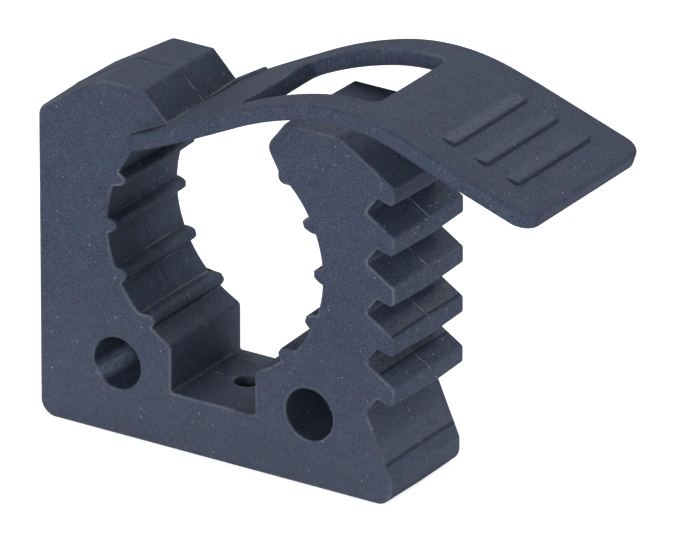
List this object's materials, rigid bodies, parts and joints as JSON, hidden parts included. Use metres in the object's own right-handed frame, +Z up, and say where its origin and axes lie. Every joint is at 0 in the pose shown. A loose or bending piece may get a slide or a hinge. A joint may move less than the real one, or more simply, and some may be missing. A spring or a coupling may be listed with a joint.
{
  "type": "rubber strap clamp",
  "caption": "Moulded rubber clamp block with a ribbed round bowl, hooked teeth, a bolt hole in its base and an open strap whose window hooks over the toothed arm.",
  "frame": {"origin": "middle of the bolt hole where it leaves the flat underside", "axes": "+X from the strap's root towards the toothed arm and the strap's tab, +Y back along the bowl's axis, +Z up out of the base"},
  "size_m": [0.1498, 0.0524, 0.1073],
  "materials": {
    "rubber": "matte blue-black moulded rubber with fine pale specks"
  },
  "bodies": {
    "root": {"rubber_clamp": "rubber"}
  },
  "joints": []
}
